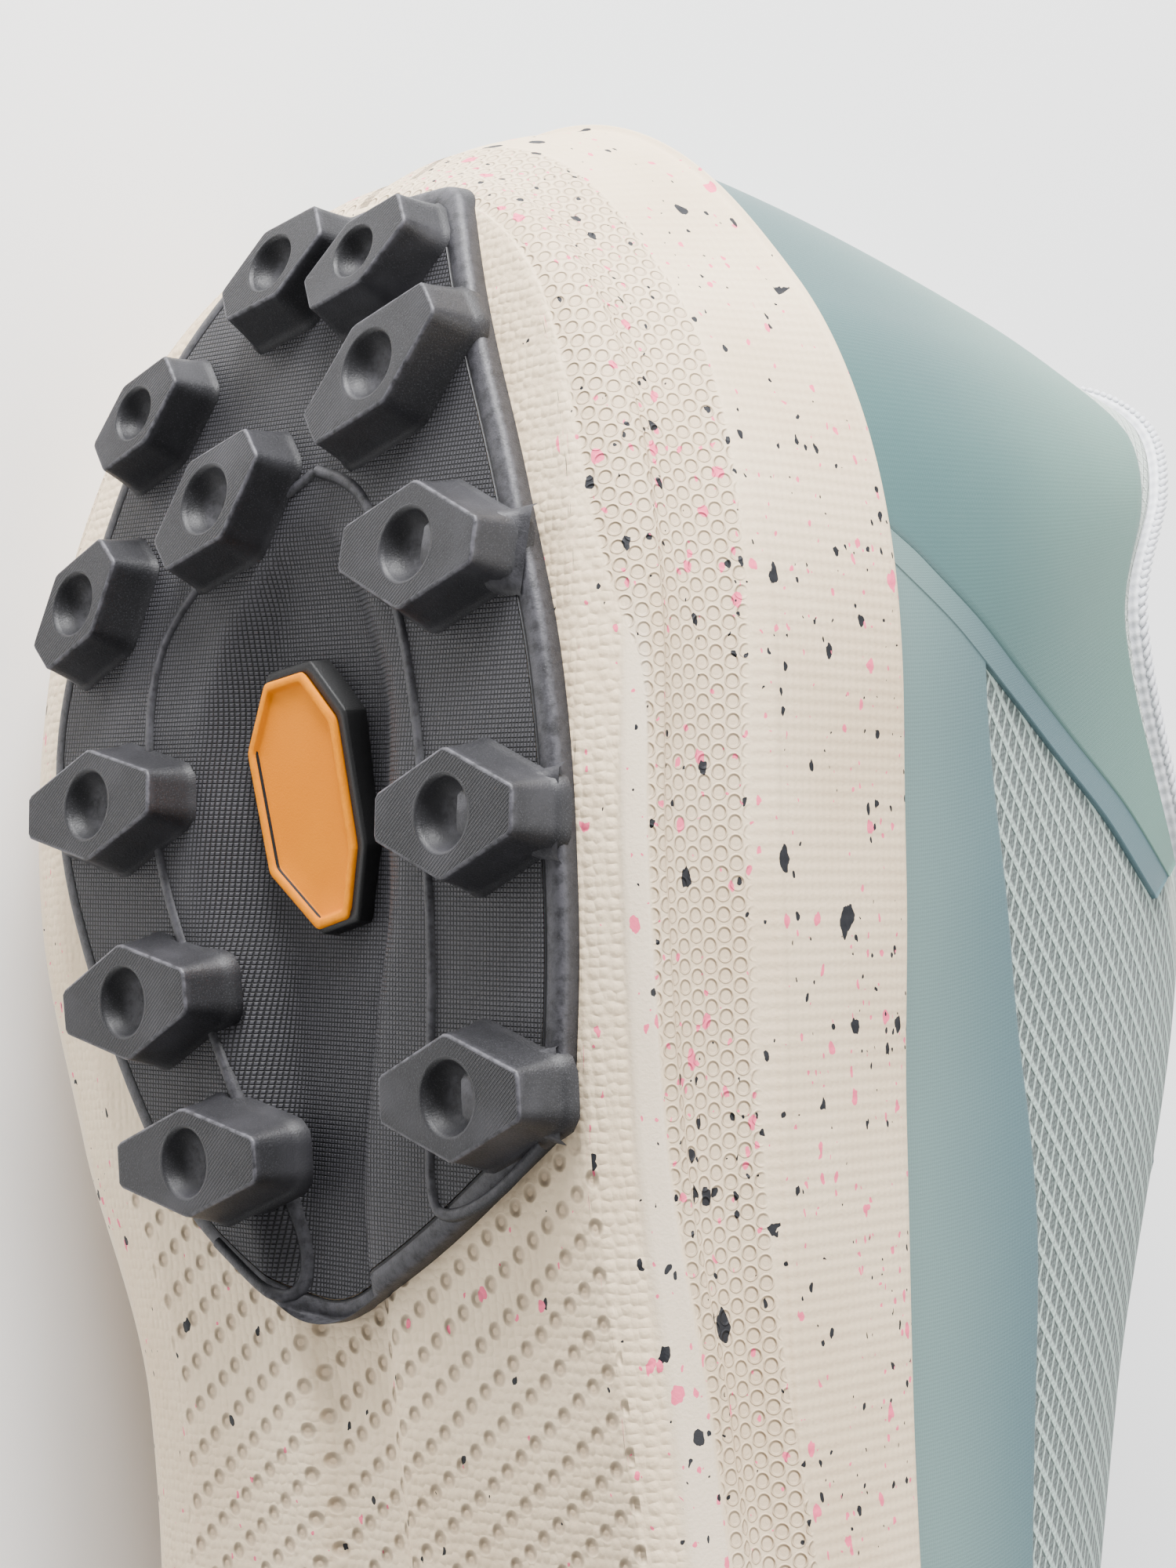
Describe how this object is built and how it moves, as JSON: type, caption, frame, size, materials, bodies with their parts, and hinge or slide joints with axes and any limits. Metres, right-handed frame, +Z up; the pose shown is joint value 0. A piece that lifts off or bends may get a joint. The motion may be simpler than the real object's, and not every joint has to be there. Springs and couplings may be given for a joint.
{
  "type": "trail running shoe",
  "caption": "Right trail running shoe with a thick foam midsole, lugged rubber outsole and a mesh upper with film overlays, lying on its inner side.",
  "frame": {"origin": "middle of the shoe's bounding box at floor level, with the shoe lying on its inner side", "axes": "+X from heel to toe, +Y from the sole towards the collar, +Z up, towards the shoe's outer side"},
  "size_m": [0.3098, 0.1378, 0.1055],
  "materials": {
    "foam": "matte",
    "rubber": "satin",
    "badge": "satin",
    "mesh": "matte",
    "counter_film": "satin",
    "side_film": "satin",
    "binding": "matte",
    "lining": "matte",
    "lace": "matte",
    "insole": "matte"
  },
  "bodies": {
    "root": {"midsole": "foam", "outsole_heel": "rubber", "outsole_forefoot": "rubber", "badge": "badge", "upper": "mesh", "heel_counter": "counter_film", "rand": "side_film", "eyestay": "side_film", "collar_binding": "binding", "tongue": "lining", "laces": "lace", "insole": "insole"}
  },
  "joints": []
}
